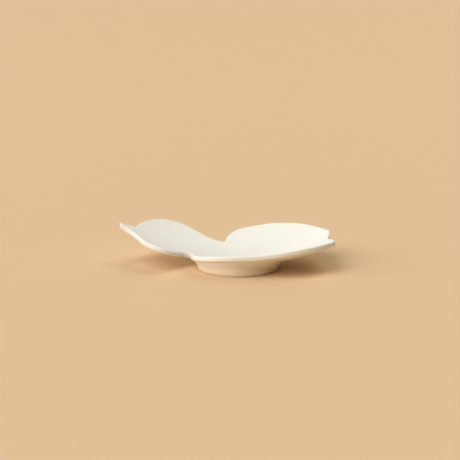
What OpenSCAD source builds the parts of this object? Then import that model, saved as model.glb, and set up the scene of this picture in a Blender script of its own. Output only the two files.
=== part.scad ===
// Bird-shaped condiment saucer: a shallow oval bowl of pressed clay, trimmed to a bird
// with head, beak and notched tail, standing on a round luted foot and glazed all over
// except for the ring that touches the table. Millimetres, +Z up, beak to the left.

/* [Bowl] */
// Height of the lowest point of the slab's upper face above the table
floor_z = 4.4; // [3.8:0.1:5.5]
// Radius of the bowl's curve along its length
bowl_long_r = 115; // [104:1:140]
// Radius of the bowl's curve across its width
bowl_cross_r = 55; // [50:1:70]
// Distance of the bowl's lowest point behind the foot's centre
bowl_back = 3.3; // [1.5:0.1:5]
// Thickness of the pressed clay slab
slab_t = 1.9; // [1.6:0.1:2.2]
// Thickness of each coat of glaze
glaze_t = 0.2; // [0.15:0.01:0.3]

/* [Body] */
// How far the body reaches over the foot in front
front_over = 3.7; // [3.4:0.1:7]
// How far the body reaches over the foot behind
back_over = 13.6; // [11:0.1:17]
// Place of the body's widest part along the length
body_x = 14.5; // [12:0.5:18]

/* [Neck] */
// Distance of the front notch from the foot's wall
neck_front_gap = 3; // [2.6:0.1:4]
// Distance of the back notch from the foot's wall
neck_back_gap = 3; // [2.4:0.1:4]
// Distance of the chest's edge from the foot's wall
chest_gap = 3.5; // [3:0.1:4]
// Distance of the back shoulder from the foot's wall
shoulder_gap = 5; // [4.6:0.1:6]

/* [Tail] */
// Reach of the tail's front point from the foot's centre
tail_x = 45; // [43:0.2:52]
// Width of the tail between its two points
tail_w = 18.3; // [15:0.1:21]
// Depth of the notch in the tail
tail_notch = 2.1; // [1.6:0.1:3.6]

/* [Head] */
// Distance of the head's middle from the foot's centre
head_x = 30.7; // [29:0.1:34]
// Depth of the head in front of the foot's centre
head_front = 10.7; // [10.2:0.1:13]
// Depth of the head behind the foot's centre
head_back = 29.7; // [26:0.1:32]

/* [Beak] */
// Reach of the beak's tip from the foot's centre
beak_x = 55.8; // [54:0.1:62]
// Distance of the beak's tip behind the foot's centre
beak_y = 8.9; // [7.9:0.1:9.9]
// Width of the rounded end of the beak
beak_w = 2; // [1.6:0.1:2.6]

/* [Foot] */
// Outer radius of the foot's wall
foot_r = 19.1; // [17:0.1:19.4]
// Width of the foot's wall
foot_w = 2.8; // [2.2:0.1:4]
// Height where the foot's wall begins to flare
flare_z = 3.4; // [3:0.1:3.8]
// Radius of the flare under the bowl
flare_r = 8; // [7:0.5:12]
// Radius of the foot's outer and inner lower edges
foot_edge_r = 0.5; // [0.3:0.1:0.7]
// Height of the wall left bare above the table
bare_h = 0.9; // [0.8:0.1:1.4]
// Thickness of the slip that bonds the foot to the slab
slip_t = 0.3; // [0.2:0.05:0.5]

/* [Hidden] */
$fn = 240;

clay = [0.93, 0.9, 0.84];
slip = [0.87, 0.83, 0.76];
glaze = [0.97, 0.95, 0.9];

// Bends flatter than this are drawn as straight lines
flat = 1e-6;
// Half the turn of the outline at each of its chords, degrees
half_step = 3.5;
// Height of the upright cutting shapes, above every piece
reach_z = bowl_cross_r;
// Height of the foot's blank, cut off by the bowl above it
blank_z = flare_z + 0.8 * flare_r;
foot_in_r = foot_r - foot_w;

// Headings of the outline, degrees, walked with the bird on the left
to_right = 0;
to_back = 90;
to_left = 180;
to_front = 270;
neck_front_in = -4;
neck_front_out = -93;
chest_dir = -36;
flank_dir = 33;
tail_front_in = 84;
tail_front_out = 98;
tail_notch_in = 118;
tail_notch_out = 72;
tail_back_in = 88;
tail_back_out = 119;
shoulder_dir = 256;
neck_back_dir = 163;
throat_back_in = 262;
throat_back_out = 215;
beak_back_dir = 196;
beak_front_dir = 350;
throat_front_dir = 291;

// Bearings of the neck, chest and shoulder from the foot's centre, degrees
neck_front_at = 181.5;
chest_at = 232;
neck_back_at = 110.5;
shoulder_at = 104;

neck_front = (foot_r + neck_front_gap) * unit(neck_front_at);
chest = (foot_r + chest_gap) * unit(chest_at);
neck_back = (foot_r + neck_back_gap) * unit(neck_back_at);
shoulder = (foot_r + shoulder_gap) * unit(shoulder_at);
throat_back = [-48.8, 13.3];
throat_front = [-45.4, -1.6];

body_front = foot_r + front_over;
body_back = foot_r + back_over;
belly = [body_x, -body_front];
back = [body_x, body_back];
// The flank's turn, inside the tail's front point and behind the belly
flank_in_x = 7.8;
flank_back_y = 5.6;
flank = [tail_x - flank_in_x, flank_back_y - body_front];
tail_mid_y = 6.05;
tail_back_in_x = 1.2;
tail_front_pt = [tail_x, tail_mid_y - tail_w / 2];
tail_back_pt = [tail_x - tail_back_in_x, tail_mid_y + tail_w / 2];
tail_notch_pt = [tail_x - tail_back_in_x / 2 - tail_notch, tail_mid_y];
crown = [-head_x, head_back];
// The cheek lies a little nearer the beak than the crown
cheek_step = 3.3;
cheek = [-head_x - cheek_step, -head_front];
beak_tip = [-beak_x, beak_y];
beak_back_pt = beak_tip + [beak_w / 4, beak_w / 2];
beak_front_pt = beak_tip + [beak_w / 4, -beak_w / 2];

// Each stop of the outline: place, heading on arrival, heading on leaving
STOPS = [
    [neck_front, neck_front_in, neck_front_out],
    [chest, chest_dir, chest_dir],
    [belly, to_right, to_right],
    [flank, flank_dir, flank_dir],
    [tail_front_pt, tail_front_in, tail_front_out],
    [tail_notch_pt, tail_notch_in, tail_notch_out],
    [tail_back_pt, tail_back_in, tail_back_out],
    [back, to_left, to_left],
    [shoulder, shoulder_dir, shoulder_dir],
    [neck_back, neck_back_dir, neck_back_dir],
    [crown, to_left, to_left],
    [throat_back, throat_back_in, throat_back_out],
    [beak_back_pt, beak_back_dir, beak_back_dir],
    [beak_tip, to_front, to_front],
    [beak_front_pt, beak_front_dir, beak_front_dir],
    [throat_front, throat_front_dir, throat_front_dir],
    [cheek, to_right, to_right]
];

function unit(a) = [cos(a), sin(a)];
function left_of(v) = [-v.y, v.x];
function outward(a) = -left_of(unit(a));
function miter(m, n) = (m + n) / (1 + m * n);
function moved(s, off) = s[0] + off * miter(outward(s[1]), outward(s[2]));

// Length of the handles of the two tangent arcs from p, heading u, to q, heading v
function handle(c, u, v) =
    let (s = c * (u + v), k = 2 * (1 - u * v))
    k < flat ? (c * c) / (2 * s) : (sqrt(s * s + k * (c * c)) - s) / k;

// Both arcs between two stops: start, heading at the start, end
function arcs(p, u, q, v) =
    let (
        d = handle(q - p, u, v),
        a = p + d * u,
        b = q - d * v,
        mid = (a + b) / 2
    )
    [[p, u, mid], [mid, (b - a) / norm(b - a), q]];

function rim(off) = [
    for (i = [0 : len(STOPS) - 1])
        let (s = STOPS[i], e = STOPS[(i + 1) % len(STOPS)])
        each arcs(moved(s, off), unit(s[2]), moved(e, off), unit(e[1]))
];

// Places along one arc, its end left out
function arc_points(arc) =
    let (
        u = arc[1],
        chord = arc[2] - arc[0],
        half_turn = atan2(chord * left_of(u), chord * u),
        n = ceil(abs(half_turn) / half_step)
    )
    abs(half_turn) < flat ? [arc[0]] : [
        for (k = [0 : n - 1])
            let (d = half_turn * k / n)
            arc[0] + norm(chord) * sin(d) / sin(half_turn) * (cos(d) * u + sin(d) * left_of(u))
    ];

module bird(off) {
    polygon([for (arc = rim(off)) each arc_points(arc)]);
}

module bird_prism(off) {
    linear_extrude(height = reach_z) bird(off);
}

// Everything above the surface that lies off below the slab's upper face
module bowl(off) {
    translate([0, bowl_back, floor_z + bowl_long_r])
        rotate([90, 0, 0])
            rotate_extrude() intersection() {
                translate([bowl_long_r - bowl_cross_r, 0]) circle(r = bowl_cross_r + off);
                translate([0, -bowl_long_r]) square(2 * bowl_long_r);
            }
}

module bowl_layer(upper, lower) {
    difference() {
        bowl(lower);
        bowl(upper);
    }
}

// Upright blank of the foot with its flare, grown outwards by off
module foot_blank(off) {
    rotate_extrude() {
        difference() {
            union() {
                square([foot_r + off, blank_z]);
                translate([0, flare_z]) square([foot_r + flare_r / 2, blank_z - flare_z]);
            }
            translate([foot_r + flare_r, flare_z]) circle(r = flare_r - off);
            translate([foot_r + off - foot_edge_r, 0]) edge_waste();
        }
    }
}

// Corner taken off to round the foot's outer lower edge
module edge_waste() {
    difference() {
        square(foot_edge_r);
        translate([0, foot_edge_r]) circle(r = foot_edge_r);
    }
}

// Hollow inside the foot, with the rounded inner lower edge
module foot_hollow() {
    rotate_extrude() {
        square([foot_in_r, reach_z]);
        translate([foot_in_r + foot_edge_r, 0]) mirror([1, 0]) edge_waste();
    }
}

// Frame's origin: middle of the footprint, on the table
module framed() {
    tail_end = moved(STOPS[4], glaze_t);
    translate([(beak_x + glaze_t - tail_end.x) / 2, (body_front - body_back) / 2, 0]) children();
}

module dish_body() {
    color(clay) framed() intersection() {
        bird_prism(0);
        bowl_layer(0, slab_t);
    }
}

module foot_ring() {
    color(clay) framed() difference() {
        foot_blank(0);
        foot_hollow();
        bowl(slab_t + slip_t);
    }
}

module luting_slip() {
    color(slip) framed() difference() {
        intersection() {
            foot_blank(0);
            bowl_layer(slab_t, slab_t + slip_t);
        }
        foot_hollow();
    }
}

module glaze_face() {
    color(glaze) framed() difference() {
        intersection() {
            bird_prism(glaze_t);
            bowl_layer(-glaze_t, slab_t);
        }
        difference() {
            bird_prism(0);
            bowl(0);
        }
    }
}

module glaze_back() {
    color(glaze) framed() difference() {
        intersection() {
            bird_prism(glaze_t);
            bowl_layer(slab_t, slab_t + glaze_t);
        }
        foot_blank(0);
    }
}

module glaze_foot() {
    color(glaze) framed() difference() {
        foot_blank(glaze_t);
        foot_blank(0);
        cylinder(r = foot_r + flare_r, h = bare_h);
        bowl(slab_t + glaze_t);
    }
}

module glaze_well() {
    color(glaze) framed() difference() {
        translate([0, 0, bare_h]) cylinder(r = foot_in_r, h = blank_z - bare_h);
        bowl(slab_t);
        difference() {
            cylinder(r = foot_in_r - glaze_t, h = blank_z);
            bowl(slab_t + glaze_t);
        }
    }
}

dish_body();
foot_ring();
luting_slip();
glaze_face();
glaze_back();
glaze_foot();
glaze_well();
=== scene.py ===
"""Bird-shaped condiment saucer: satin glaze over pressed clay, with a bare foot ring."""
import math

import bpy
import numpy as np
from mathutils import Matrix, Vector
from mathutils.geometry import delaunay_2d_cdt


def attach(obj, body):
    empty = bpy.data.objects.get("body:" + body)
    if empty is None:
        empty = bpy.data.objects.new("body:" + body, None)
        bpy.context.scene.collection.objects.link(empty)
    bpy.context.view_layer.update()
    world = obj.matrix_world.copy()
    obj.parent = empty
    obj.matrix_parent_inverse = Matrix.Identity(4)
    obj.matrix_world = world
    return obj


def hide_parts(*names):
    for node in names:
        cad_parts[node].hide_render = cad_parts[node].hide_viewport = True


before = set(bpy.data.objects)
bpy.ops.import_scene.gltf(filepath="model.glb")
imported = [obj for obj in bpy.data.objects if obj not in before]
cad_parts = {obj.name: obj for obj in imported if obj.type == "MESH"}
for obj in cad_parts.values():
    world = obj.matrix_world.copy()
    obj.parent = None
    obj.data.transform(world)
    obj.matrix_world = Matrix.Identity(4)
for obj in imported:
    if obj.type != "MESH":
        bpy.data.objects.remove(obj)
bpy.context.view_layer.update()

# Sizes of the saucer, millimetres, about the foot's centre (the same values as the solids)
FLOOR_Z = 4.4
LONG_R = 115.0
CROSS_R = 55.0
BOWL_BACK = 3.3
SLAB = 1.9
GLAZE = 0.2
FOOT_R = 19.1
FLARE_Z = 3.4
FLARE_R = 8.0
BARE_H = 0.9
BODY_X = 14.5
BODY_FRONT = FOOT_R + 3.7
BODY_BACK = FOOT_R + 13.6
CHEST_GAP = 3.5
SHOULDER_GAP = 5.0
NECK_GAP = 3.0
FLANK_IN_X = 7.8
FLANK_BACK_Y = 5.6
TAIL_X = 45.0
TAIL_W = 18.3
TAIL_NOTCH = 2.1
TAIL_Y = 6.05
TAIL_STEP = 1.2
TAIL_IN = 84
TAIL_OUT = 98
HEAD_X = 30.7
HEAD_FRONT = 10.7
HEAD_BACK = 29.7
CHEEK_STEP = 3.3
THROAT_FRONT = (-45.4, -1.6)
THROAT_BACK = (-48.8, 13.3)
BEAK_X = 55.8
BEAK_Y = 8.9
BEAK_W = 2.0

# Finish of the visible glaze
TOP_R = 1.2
BEAK_R = 0.6
LOW_R = 0.4
FILLET_REACH = 2.3
FILLET_MORE = 0.7
FILLET_FALL = 3.9
FILLET_FULL = 0.2
BEAD_R = 0.18
CORNER_SOFT = 0.35
COLUMNS = 640
FOOT_COLUMNS = 240
GRID = 1.3


def heading(degrees):
    """Unit vector in plan, counted from +X."""
    a = math.radians(degrees)
    return np.array([math.cos(a), math.sin(a)])


def left_of(v):
    """Plan vectors turned a quarter to the left."""
    return np.stack([-v[..., 1], v[..., 0]], -1)


def off_foot(gap, bearing):
    return (FOOT_R + gap) * heading(bearing)


def stops():
    """Places on the outline with the heading on arrival and on leaving, the bird on the left."""
    tip = np.array([-BEAK_X, BEAK_Y])
    return [
        (off_foot(NECK_GAP, 181.5), -4, -93),
        (off_foot(CHEST_GAP, 232), -36, -36),
        (np.array([BODY_X, -BODY_FRONT]), 0, 0),
        (np.array([TAIL_X - FLANK_IN_X, FLANK_BACK_Y - BODY_FRONT]), 33, 33),
        (np.array([TAIL_X, TAIL_Y - TAIL_W / 2]), TAIL_IN, TAIL_OUT),
        (np.array([TAIL_X - TAIL_STEP / 2 - TAIL_NOTCH, TAIL_Y]), 118, 72),
        (np.array([TAIL_X - TAIL_STEP, TAIL_Y + TAIL_W / 2]), 88, 119),
        (np.array([BODY_X, BODY_BACK]), 180, 180),
        (off_foot(SHOULDER_GAP, 104), 256, 256),
        (off_foot(NECK_GAP, 110.5), 163, 163),
        (np.array([-HEAD_X, HEAD_BACK]), 180, 180),
        (np.array(THROAT_BACK), 262, 215),
        (tip + [BEAK_W / 4, BEAK_W / 2], 196, 196),
        (tip, 270, 270),
        (tip + [BEAK_W / 4, -BEAK_W / 2], 350, 350),
        (np.array(THROAT_FRONT), 291, 291),
        (np.array([-HEAD_X - CHEEK_STEP, -HEAD_FRONT]), 0, 0),
    ]


def arc_points(p, u, q, step=0.05):
    """Points of the arc that leaves p along u and ends at q, the end left out."""
    chord = q - p
    half = math.atan2(chord @ left_of(u), chord @ u)
    length = np.linalg.norm(chord)
    n = max(2, int(length / step))
    k = np.arange(n)[:, None] / n
    if abs(half) < 1e-6:
        return p + chord * k
    d = half * k
    return p + length * np.sin(d) / math.sin(half) * (np.cos(d) * u + np.sin(d) * left_of(u))


def grown(p, arrival, leaving, off):
    """A stop of the outline, moved outwards by off on both sides of its corner."""
    m, n = -left_of(heading(arrival)), -left_of(heading(leaving))
    return p + off * (m + n) / (1 + m @ n)


def outline(off):
    """Closed outline, grown outwards by off, as evenly spaced points with their outward normals."""
    s = stops()
    moved = [grown(p, a, b, off) for p, a, b in s]
    pts = []
    for i in range(len(s)):
        j = (i + 1) % len(s)
        p, q, u, v = moved[i], moved[j], heading(s[i][2]), heading(s[j][1])
        c, k = q - p, 2 * (1 - u @ v)
        w = c @ (u + v)
        d = c @ c / (2 * w) if k < 1e-6 else (math.sqrt(w * w + k * (c @ c)) - w) / k
        a, b = p + d * u, q - d * v
        mid = (a + b) / 2
        pts.append(arc_points(p, u, mid))
        pts.append(arc_points(mid, (b - a) / np.linalg.norm(b - a), q))
    pts = spaced(np.vstack(pts), 6000)
    length = np.linalg.norm(np.roll(pts, -1, 0) - pts, axis=1).sum()
    # Corners are softened a little, as glaze softens them
    reach = np.arange(-40, 41) * length / len(pts)
    weight = np.exp(-0.5 * (reach / CORNER_SOFT) ** 2)
    weight /= weight.sum()
    soft = sum(w * np.roll(pts, -k, 0) for k, w in zip(range(-40, 41), weight))
    pts = spaced(soft, COLUMNS)
    along = np.roll(pts, -1, 0) - np.roll(pts, 1, 0)
    along /= np.linalg.norm(along, axis=1)[:, None]
    return pts, -left_of(along)


def spaced(pts, n):
    """A closed ring as n points at even steps."""
    ring = np.vstack([pts, pts[:1]])
    s = np.concatenate([[0], np.cumsum(np.linalg.norm(np.diff(ring, axis=0), axis=1))])
    at = np.linspace(0, s[-1], n, endpoint=False)
    return np.stack([np.interp(at, s, ring[:, k]) for k in (0, 1)], -1)


def bowl_z(xy, off):
    """Height of the bowl's surface that lies off below the slab's upper face."""
    y = xy[..., 1] - BOWL_BACK
    rho = LONG_R - CROSS_R + np.sqrt((CROSS_R + off) ** 2 - y * y)
    return FLOOR_Z + LONG_R - np.sqrt(rho * rho - xy[..., 0] ** 2)


def on_bowl(xy, off):
    return np.column_stack([xy, bowl_z(xy, off)])


def polar(r, az):
    return np.column_stack([r * np.cos(az), r * np.sin(az)])


# Frame's origin: middle of the footprint on the table
tail_end = grown(np.array([TAIL_X, 0.0]), TAIL_IN, TAIL_OUT, GLAZE)[0]
SHIFT = np.array([(BEAK_X + GLAZE - tail_end) / 2, (BODY_FRONT - BODY_BACK) / 2, 0.0])


class Skin:
    """Closed skin of one piece, put together from rings, bands between rings and filled sheets."""

    def __init__(self, name):
        self.name = name
        self.verts, self.faces, self.marks = [], [], []

    def ring(self, points, mark=0.0):
        first = len(self.verts)
        self.verts.extend(points.tolist())
        self.marks.extend([mark] * len(points))
        return np.arange(first, first + len(points))

    def band(self, rings, closed=False):
        """Quads between rings; the outside is on the left of a walk along the rings."""
        pairs = list(zip(rings, rings[1:]))
        if closed:
            pairs.append((rings[-1], rings[0]))
        for a, b in pairs:
            self.faces.extend(np.column_stack([a, b, np.roll(b, -1), np.roll(a, -1)]).tolist())

    def fill(self, loops, off, up):
        """Sheet on the bowl's surface inside the first ring and outside the others."""
        plans = [np.array([self.verts[i][:2] for i in loop]) for loop in loops]
        low, high = plans[0].min(0), plans[0].max(0)
        gx, gy = np.meshgrid(np.arange(low[0], high[0], GRID), np.arange(low[1], high[1], GRID * 0.866))
        gx = gx + (np.arange(len(gx)) % 2)[:, None] * GRID / 2
        grid = np.column_stack([gx.ravel(), gy.ravel()])
        keep = between(grid, plans)
        for plan in plans:
            keep &= distance(grid, plan) > GRID * 0.6
        grid = grid[keep]
        lines = []
        for plan in plans:
            first, n = len(lines), len(plan)
            lines += [(first + i, first + (i + 1) % n) for i in range(n)]
        index = np.concatenate([*loops, self.ring(on_bowl(grid, off))])
        flat = np.vstack([*plans, grid])
        coords, _, tris, origin, _, _ = delaunay_2d_cdt([Vector(p) for p in flat], lines, [], 0, 1e-6)
        old = [origin[i][0] for i in range(len(coords))]
        tris = np.array([[old[i] for i in t] for t in tris])
        tris = tris[between(flat[tris].mean(1), plans)]
        a, b, c = flat[tris[:, 0]], flat[tris[:, 1]], flat[tris[:, 2]]
        ccw = (b - a)[:, 0] * (c - a)[:, 1] - (b - a)[:, 1] * (c - a)[:, 0] > 0
        tris = np.where((ccw == up)[:, None], tris, tris[:, ::-1])
        self.faces.extend(index[tris].tolist())

    def build(self):
        """The skin as an object in the frame, in metres."""
        mesh = bpy.data.meshes.new(self.name)
        mesh.from_pydata(((np.array(self.verts) + SHIFT) / 1000).tolist(), [], self.faces)
        mesh.validate()
        layer = mesh.attributes.new("edge", "FLOAT", "POINT")
        layer.data.foreach_set("value", np.array(self.marks, dtype=np.float32))
        mesh.polygons.foreach_set("use_smooth", [True] * len(mesh.polygons))
        mesh.set_sharp_from_angle(angle=math.radians(50))
        mesh.update()
        obj = bpy.data.objects.new(self.name, mesh)
        bpy.context.scene.collection.objects.link(obj)
        return obj


def within(points, ring):
    """Which plan points lie inside a closed ring."""
    x, y = points[:, :1], points[:, 1:]
    a, b = ring, np.roll(ring, -1, 0)
    spans = (a[:, 1] > y) != (b[:, 1] > y)
    rise = np.where(a[:, 1] == b[:, 1], 1.0, b[:, 1] - a[:, 1])
    return (spans & (x < a[:, 0] + (y - a[:, 1]) * (b[:, 0] - a[:, 0]) / rise)).sum(1) % 2 == 1


def between(points, rings):
    """Which plan points lie inside the first ring and outside the others."""
    inside = within(points, rings[0])
    for ring in rings[1:]:
        inside &= ~within(points, ring)
    return inside


def distance(points, ring):
    """Distance of each plan point from the nearest point of a ring."""
    return np.min(np.linalg.norm(points[:, None, :] - ring[None], axis=2), axis=1)


# Rings that the coats and the clay share
rim, out = outline(GLAZE)
clay_rim = rim - GLAZE * out
quarter = np.radians(np.linspace(0, 90, 11))
# The upper edge is rounded over, less at the slender beak
from_tip = np.linalg.norm(rim - np.array([-BEAK_X, BEAK_Y]), axis=1)
blend = np.clip((from_tip - 3) / 9, 0, 1)
top_r = BEAK_R + (TOP_R - BEAK_R) * blend * blend * (3 - 2 * blend)
low_r = np.full(COLUMNS, LOW_R)


def edge_ring(line, a, radius, off, up):
    """Ring of a rounded edge at angle a; up is 1 on the upper edge and -1 on the lower one."""
    xy = line - (radius * (1 - math.sin(a)))[:, None] * out
    return np.column_stack([xy, bowl_z(xy, off) - up * radius * (1 - math.cos(a))])


def rounded(line, radius, off, up):
    return [edge_ring(line, a, radius, off, up) for a in quarter]


face_edge = rounded(rim, top_r, -GLAZE, 1)
back_edge = rounded(rim, low_r, SLAB + GLAZE, -1)
clay_face_edge = rounded(clay_rim, top_r - GLAZE, 0.0, 1)
clay_back_edge = rounded(clay_rim, low_r - GLAZE, SLAB, -1)
seam = back_edge[-1]
seam_in = np.column_stack([clay_rim, seam[:, 2]])
thin = [math.sin(2 * a) for a in quarter]

# Pressed clay slab
skin = Skin("saucer_clay_body")
rings = [skin.ring(r) for r in clay_face_edge + clay_back_edge[::-1]]
skin.band(rings)
skin.fill([rings[0]], 0.0, True)
skin.fill([rings[-1]], SLAB, False)
clay_body = skin.build()

# Glaze on the upper face and over the cut edge
skin = Skin("saucer_glaze_face")
rings = [skin.ring(r, m) for r, m in zip(face_edge, thin)]
rings += [skin.ring(r) for r in [(face_edge[-1] + seam) / 2, seam, seam_in] + clay_face_edge[::-1]]
skin.band(rings)
skin.fill([rings[0]], -GLAZE, True)
skin.fill([rings[-1]], 0.0, False)
glaze_face = skin.build()

# Foot's outer wall: upright, then the flare, then a fillet under the bowl
foot_az = np.linspace(0, 2 * math.pi, FOOT_COLUMNS, endpoint=False)
wall_r = FOOT_R + GLAZE
flare_c = np.array([FOOT_R + FLARE_R, FLARE_Z])
flare_r = FLARE_R - GLAZE


def foot_ring_at(r, z):
    return np.column_stack([polar(r, foot_az), z])


def under_z(r, off):
    return bowl_z(polar(r, foot_az), off)


def wall_rings(base_z, radius, lean, drop, count):
    """Rings up the foot's wall from base_z and round its flare up to the lean."""
    straight = FLARE_Z + drop - base_z
    whole = straight + radius * lean
    result = []
    for k in range(count + 1):
        s = whole * k / count
        a = np.maximum(s - straight, 0) / radius
        z = base_z + np.minimum(s, straight) + radius * np.sin(a)
        result.append(foot_ring_at(flare_c[0] - radius * np.cos(a), z))
    return result


# The fillet ends under the bowl, further out on the tail's side, where the bowl reaches further
touch_r = wall_r + FILLET_REACH + FILLET_MORE * ((1 + np.cos(foot_az + math.radians(10))) / 2) ** 2
touch_z = under_z(touch_r, SLAB + GLAZE)
slope = np.arctan((under_z(touch_r + 0.05, SLAB + GLAZE) - under_z(touch_r - 0.05, SLAB + GLAZE)) / 0.1)
# It leaves the wall or the flare this far below, but above the glaze's bead
leave_z = np.maximum(touch_z - FILLET_FALL, BARE_H + 2 * BEAD_R)
drop = np.minimum(leave_z - FLARE_Z, 0)
lean = np.arcsin(np.maximum(leave_z - FLARE_Z, 0) / flare_r)
leave_r = flare_c[0] - flare_r * np.cos(lean)
# Corner where the tangents at both ends meet
run = ((touch_z - leave_z) * np.cos(slope) - (touch_r - leave_r) * np.sin(slope)) / np.cos(lean + slope)
corner_r, corner_z = leave_r + run * np.sin(lean), leave_z + run * np.cos(lean)

foot_rows = []
for a in np.radians([0, 22.5, 45, 67.5]):
    r = np.full(FOOT_COLUMNS, wall_r - BEAD_R * (1 - math.sin(a)))
    foot_rows.append(foot_ring_at(r, np.full(FOOT_COLUMNS, BARE_H + BEAD_R * (1 - math.cos(a)))))
foot_rows += wall_rings(BARE_H + BEAD_R, flare_r, lean, drop, 8)
# The foot's wall is marked in full for a painted warm shade, the tone it takes in shadow under the
# bowl; the mark fades out up the fillet
foot_shade_marks = [1.0] * len(foot_rows)
for t in np.linspace(0, 1, 15)[1:]:
    u, v, w = (1 - t) ** 2, 2 * FILLET_FULL * t * (1 - t), t ** 2
    r = (u * leave_r + v * corner_r + w * touch_r) / (u + v + w)
    z = (u * leave_z + v * corner_z + w * touch_z) / (u + v + w)
    foot_rows.append(foot_ring_at(r, z))
    foot_shade_marks.append((1 - t) ** 2)
touch = foot_rows[-1]

# Underside outside the foot
skin = Skin("saucer_glaze_back")
rings = [skin.ring(r, m) for r, m in zip(back_edge[::-1], thin[::-1])]
hole = skin.ring(touch)
inner = skin.ring(on_bowl(touch[:, :2], SLAB))
clay_rings = [skin.ring(r) for r in clay_back_edge + [seam_in]]
skin.band(rings)
skin.fill([rings[-1], hole], SLAB + GLAZE, False)
skin.band([hole, inner])
skin.fill([clay_rings[0], inner], SLAB, True)
skin.band(clay_rings + [rings[0]])
glaze_back = skin.build()

# Foot's outer coat, closed along the clay wall, its flare and the slab
low, high = np.zeros(FOOT_COLUMNS), np.full(FOOT_COLUMNS, 1.2)
for _ in range(40):
    at = (low + high) / 2
    room = under_z(flare_c[0] - FLARE_R * np.cos(at), SLAB) > flare_c[1] + FLARE_R * np.sin(at)
    low, high = np.where(room, at, low), np.where(room, high, at)
clay_rows = wall_rings(BARE_H, FLARE_R, low, 0.0, 12)
clay_rows += [on_bowl(clay_rows[-1][:, :2] * (1 - t) + touch[:, :2] * t, SLAB) for t in (0.5, 1.0)]
skin = Skin("saucer_glaze_foot")
rings = [skin.ring(r, m) for r, m in zip(foot_rows[::-1], foot_shade_marks[::-1])]
rings += [skin.ring(r) for r in clay_rows]
skin.band(rings, closed=True)
glaze_foot = skin.build()


# Materials
class Nodes:
    """Small helper for a material's node tree."""

    def __init__(self, name):
        self.mat = bpy.data.materials.new(name)
        self.mat.use_nodes = True
        self.tree = self.mat.node_tree
        self.bsdf = self.tree.nodes["Principled BSDF"]
        self.coord = self.add("ShaderNodeTexCoord").outputs["Object"]

    def add(self, kind, **values):
        node = self.tree.nodes.new(kind)
        for key, value in values.items():
            setattr(node, key, value)
        return node

    def link(self, a, b):
        self.tree.links.new(a, b)

    def noise(self, scale, detail=3.0, rough=0.5):
        node = self.add("ShaderNodeTexNoise")
        node.inputs["Scale"].default_value = scale
        node.inputs["Detail"].default_value = detail
        node.inputs["Roughness"].default_value = rough
        self.link(self.coord, node.inputs["Vector"])
        return node.outputs["Fac"]

    def span(self, value, a, b, c, d):
        node = self.add("ShaderNodeMapRange")
        for key, number in zip(("From Min", "From Max", "To Min", "To Max"), (a, b, c, d)):
            node.inputs[key].default_value = number
        self.link(value, node.inputs["Value"])
        return node.outputs["Result"]

    def mix(self, factor, a, b):
        node = self.add("ShaderNodeMix", data_type="RGBA")
        self.link(factor, node.inputs["Factor"])
        for socket, colour in ((node.inputs["A"], a), (node.inputs["B"], b)):
            if isinstance(colour, tuple):
                socket.default_value = (*colour, 1)
            else:
                self.link(colour, socket)
        return node.outputs["Result"]

    def bump(self, height, strength, distance, normal=None):
        node = self.add("ShaderNodeBump")
        node.inputs["Strength"].default_value = strength
        node.inputs["Distance"].default_value = distance
        self.link(height, node.inputs["Height"])
        if normal is not None:
            self.link(normal, node.inputs["Normal"])
        return node.outputs["Normal"]


def srgb(r, g, b):
    return tuple(((c / 255 + 0.055) / 1.055) ** 2.4 if c > 10 else c / 255 / 12.92 for c in (r, g, b))


def glaze_material(name, thin_glaze_and_shade_tone, share):
    """Satin glaze, warmed where the edge attribute says: thin glaze over the clay on the rim's rounded
    edges, and a painted warm shade on the foot's wall.
    """
    n = Nodes(name)
    n.bsdf.inputs["Specular IOR Level"].default_value = 0.35
    tone = n.mix(n.span(n.noise(55, 4), 0.35, 0.65, 0, 1), srgb(241, 239, 229), srgb(245, 242, 231))
    edge = n.add("ShaderNodeAttribute", attribute_name="edge").outputs["Fac"]
    tone = n.mix(n.span(edge, 0, 1, 0, share), tone, thin_glaze_and_shade_tone)
    speck = n.span(n.noise(1500, 1), 0.8, 0.84, 0, 0.25)
    n.link(n.mix(speck, tone, srgb(196, 176, 146)), n.bsdf.inputs["Base Color"])
    n.link(n.span(n.noise(240, 3), 0.3, 0.7, 0.44, 0.54), n.bsdf.inputs["Roughness"])
    wave = n.bump(n.noise(90, 2), 0.12, 0.0006)
    n.link(n.bump(n.noise(900, 2), 0.05, 0.0002, wave), n.bsdf.inputs["Normal"])
    return n.mat


def clay_material(name, light, dark):
    """Fired clay without glaze: grain, fine specks and a dry surface."""
    n = Nodes(name)
    n.bsdf.inputs["Specular IOR Level"].default_value = 0.25
    tone = n.mix(n.span(n.noise(420, 5, 0.6), 0.3, 0.7, 0, 1), dark, light)
    speck = n.span(n.noise(2600, 2), 0.68, 0.74, 0, 0.5)
    n.link(n.mix(speck, tone, srgb(128, 98, 66)), n.bsdf.inputs["Base Color"])
    n.link(n.span(n.noise(1100, 3), 0.3, 0.7, 0.78, 0.92), n.bsdf.inputs["Roughness"])
    grain = n.bump(n.noise(3800, 4, 0.7), 0.5, 0.00012)
    n.link(n.bump(n.noise(600, 3), 0.25, 0.0002, grain), n.bsdf.inputs["Normal"])
    return n.mat


glaze = glaze_material("satin_glaze", srgb(247, 241, 225), 0.55)
# Painted warm shade on the foot: a buff tone standing in for the shading of the foot's wall under the
# bowl
painted_shade_foot_glaze = glaze_material("foot_glaze_painted_shade", srgb(235, 214, 181), 1.0)
clay = clay_material("bare_clay", srgb(226, 214, 192), srgb(214, 199, 173))
slip = clay_material("clay_slip", srgb(214, 202, 180), srgb(204, 189, 164))

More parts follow.
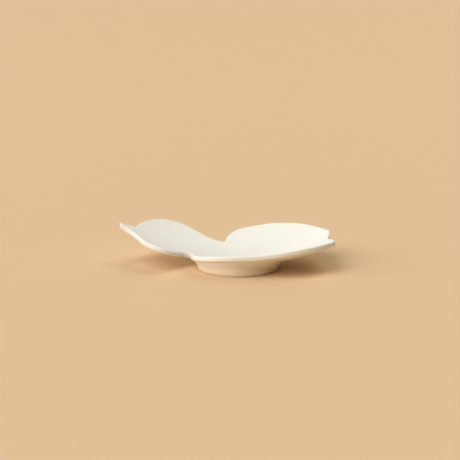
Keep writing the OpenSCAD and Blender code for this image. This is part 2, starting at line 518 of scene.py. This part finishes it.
for piece, node, material, slot in (
    (clay_body, "dish_body", clay, "clay_body"),
    (glaze_face, "glaze_face", glaze, "glaze"),
    (glaze_back, "glaze_back", glaze, "glaze"),
    (glaze_foot, "glaze_foot", painted_shade_foot_glaze, "glaze"),
):
    piece.data.materials.append(material)
    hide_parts(node)
    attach(piece, "root")

for node, material in (("foot_ring", clay), ("luting_slip", slip), ("glaze_well", glaze)):
    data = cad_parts[node].data
    data.materials.clear()
    data.materials.append(material)

# Stage: one plain pale floor
FLOOR_HALF = 6.0
floor_mesh = bpy.data.meshes.new("floor")
corners = [(-1, -1), (1, -1), (1, 1), (-1, 1)]
floor_mesh.from_pydata([(FLOOR_HALF * x, FLOOR_HALF * y, 0) for x, y in corners], [], [(0, 1, 2, 3)])
floor = bpy.data.objects.new("floor", floor_mesh)
bpy.context.scene.collection.objects.link(floor)
paper = Nodes("floor_paper")
paper.bsdf.inputs["Base Color"].default_value = (*srgb(226, 192, 151), 1)
paper.bsdf.inputs["Roughness"].default_value = 0.9
paper.bsdf.inputs["Specular IOR Level"].default_value = 0.2
floor.data.materials.append(paper.mat)


# Light: a wide soft window on the left, low and high, and warm walls behind and on the right
def soft_sun(name, bearing, height, strength, spread, colour):
    """Sun lamp at a bearing and a height in degrees; its spread softens the shadows."""
    data = bpy.data.lights.new(name, "SUN")
    data.energy = strength
    data.angle = math.radians(spread)
    data.color = colour
    obj = bpy.data.objects.new(name, data)
    bpy.context.scene.collection.objects.link(obj)
    level, up = heading(bearing) * math.cos(math.radians(height)), math.sin(math.radians(height))
    obj.rotation_euler = Vector((*level, up)).to_track_quat("Z", "Y").to_euler()


WHITE = (1.0, 1.0, 1.0)
WARM = (1.0, 0.96, 0.88)
soft_sun("window_low", 190, 14, 0.80, 26, WHITE)
soft_sun("window_middle", 208, 33, 0.54, 28, WHITE)
soft_sun("window_front", 236, 32, 0.80, 30, WHITE)
soft_sun("window_high", 225, 62, 1.22, 40, WHITE)
soft_sun("window_back", 120, 14, 0.5, 30, WHITE)
soft_sun("wall_back", 60, 25, 0.5, 40, WARM)
soft_sun("wall_right", 30, 58, 0.90, 40, WARM)
world = bpy.data.worlds.new("studio")
bpy.context.scene.world = world
world.use_nodes = True
world.node_tree.nodes["Background"].inputs["Color"].default_value = (1.0, 0.99, 0.97, 1)
world.node_tree.nodes["Background"].inputs["Strength"].default_value = 0.02

# Camera: the photograph's viewpoint, a long lens a little above the table
FRAME_PX = 460
FOCAL_PX = 1319.1
STAND_OFF = 0.62
ELEVATION = 14.5
FOOT_PX = (238.5, 267.2)
foot_c = SHIFT / 1000
cam_data = bpy.data.cameras.new("camera")
cam_data.sensor_width = 36.0
cam_data.lens = cam_data.sensor_width * FOCAL_PX / FRAME_PX
cam = bpy.data.objects.new("camera", cam_data)
bpy.context.scene.collection.objects.link(cam)
e = math.radians(ELEVATION)
cam.location = foot_c + STAND_OFF * np.array([0, -math.cos(e), math.sin(e)])
turn = math.atan((FOOT_PX[0] - FRAME_PX / 2) / FOCAL_PX)
tilt = math.atan((FOOT_PX[1] - FRAME_PX / 2) / FOCAL_PX)
cam.rotation_euler = (math.pi / 2 - e + tilt, 0, turn)
cam_data.clip_start, cam_data.clip_end = 0.01, 50
bpy.context.scene.camera = cam

bpy.context.scene.view_settings.view_transform = "Standard"
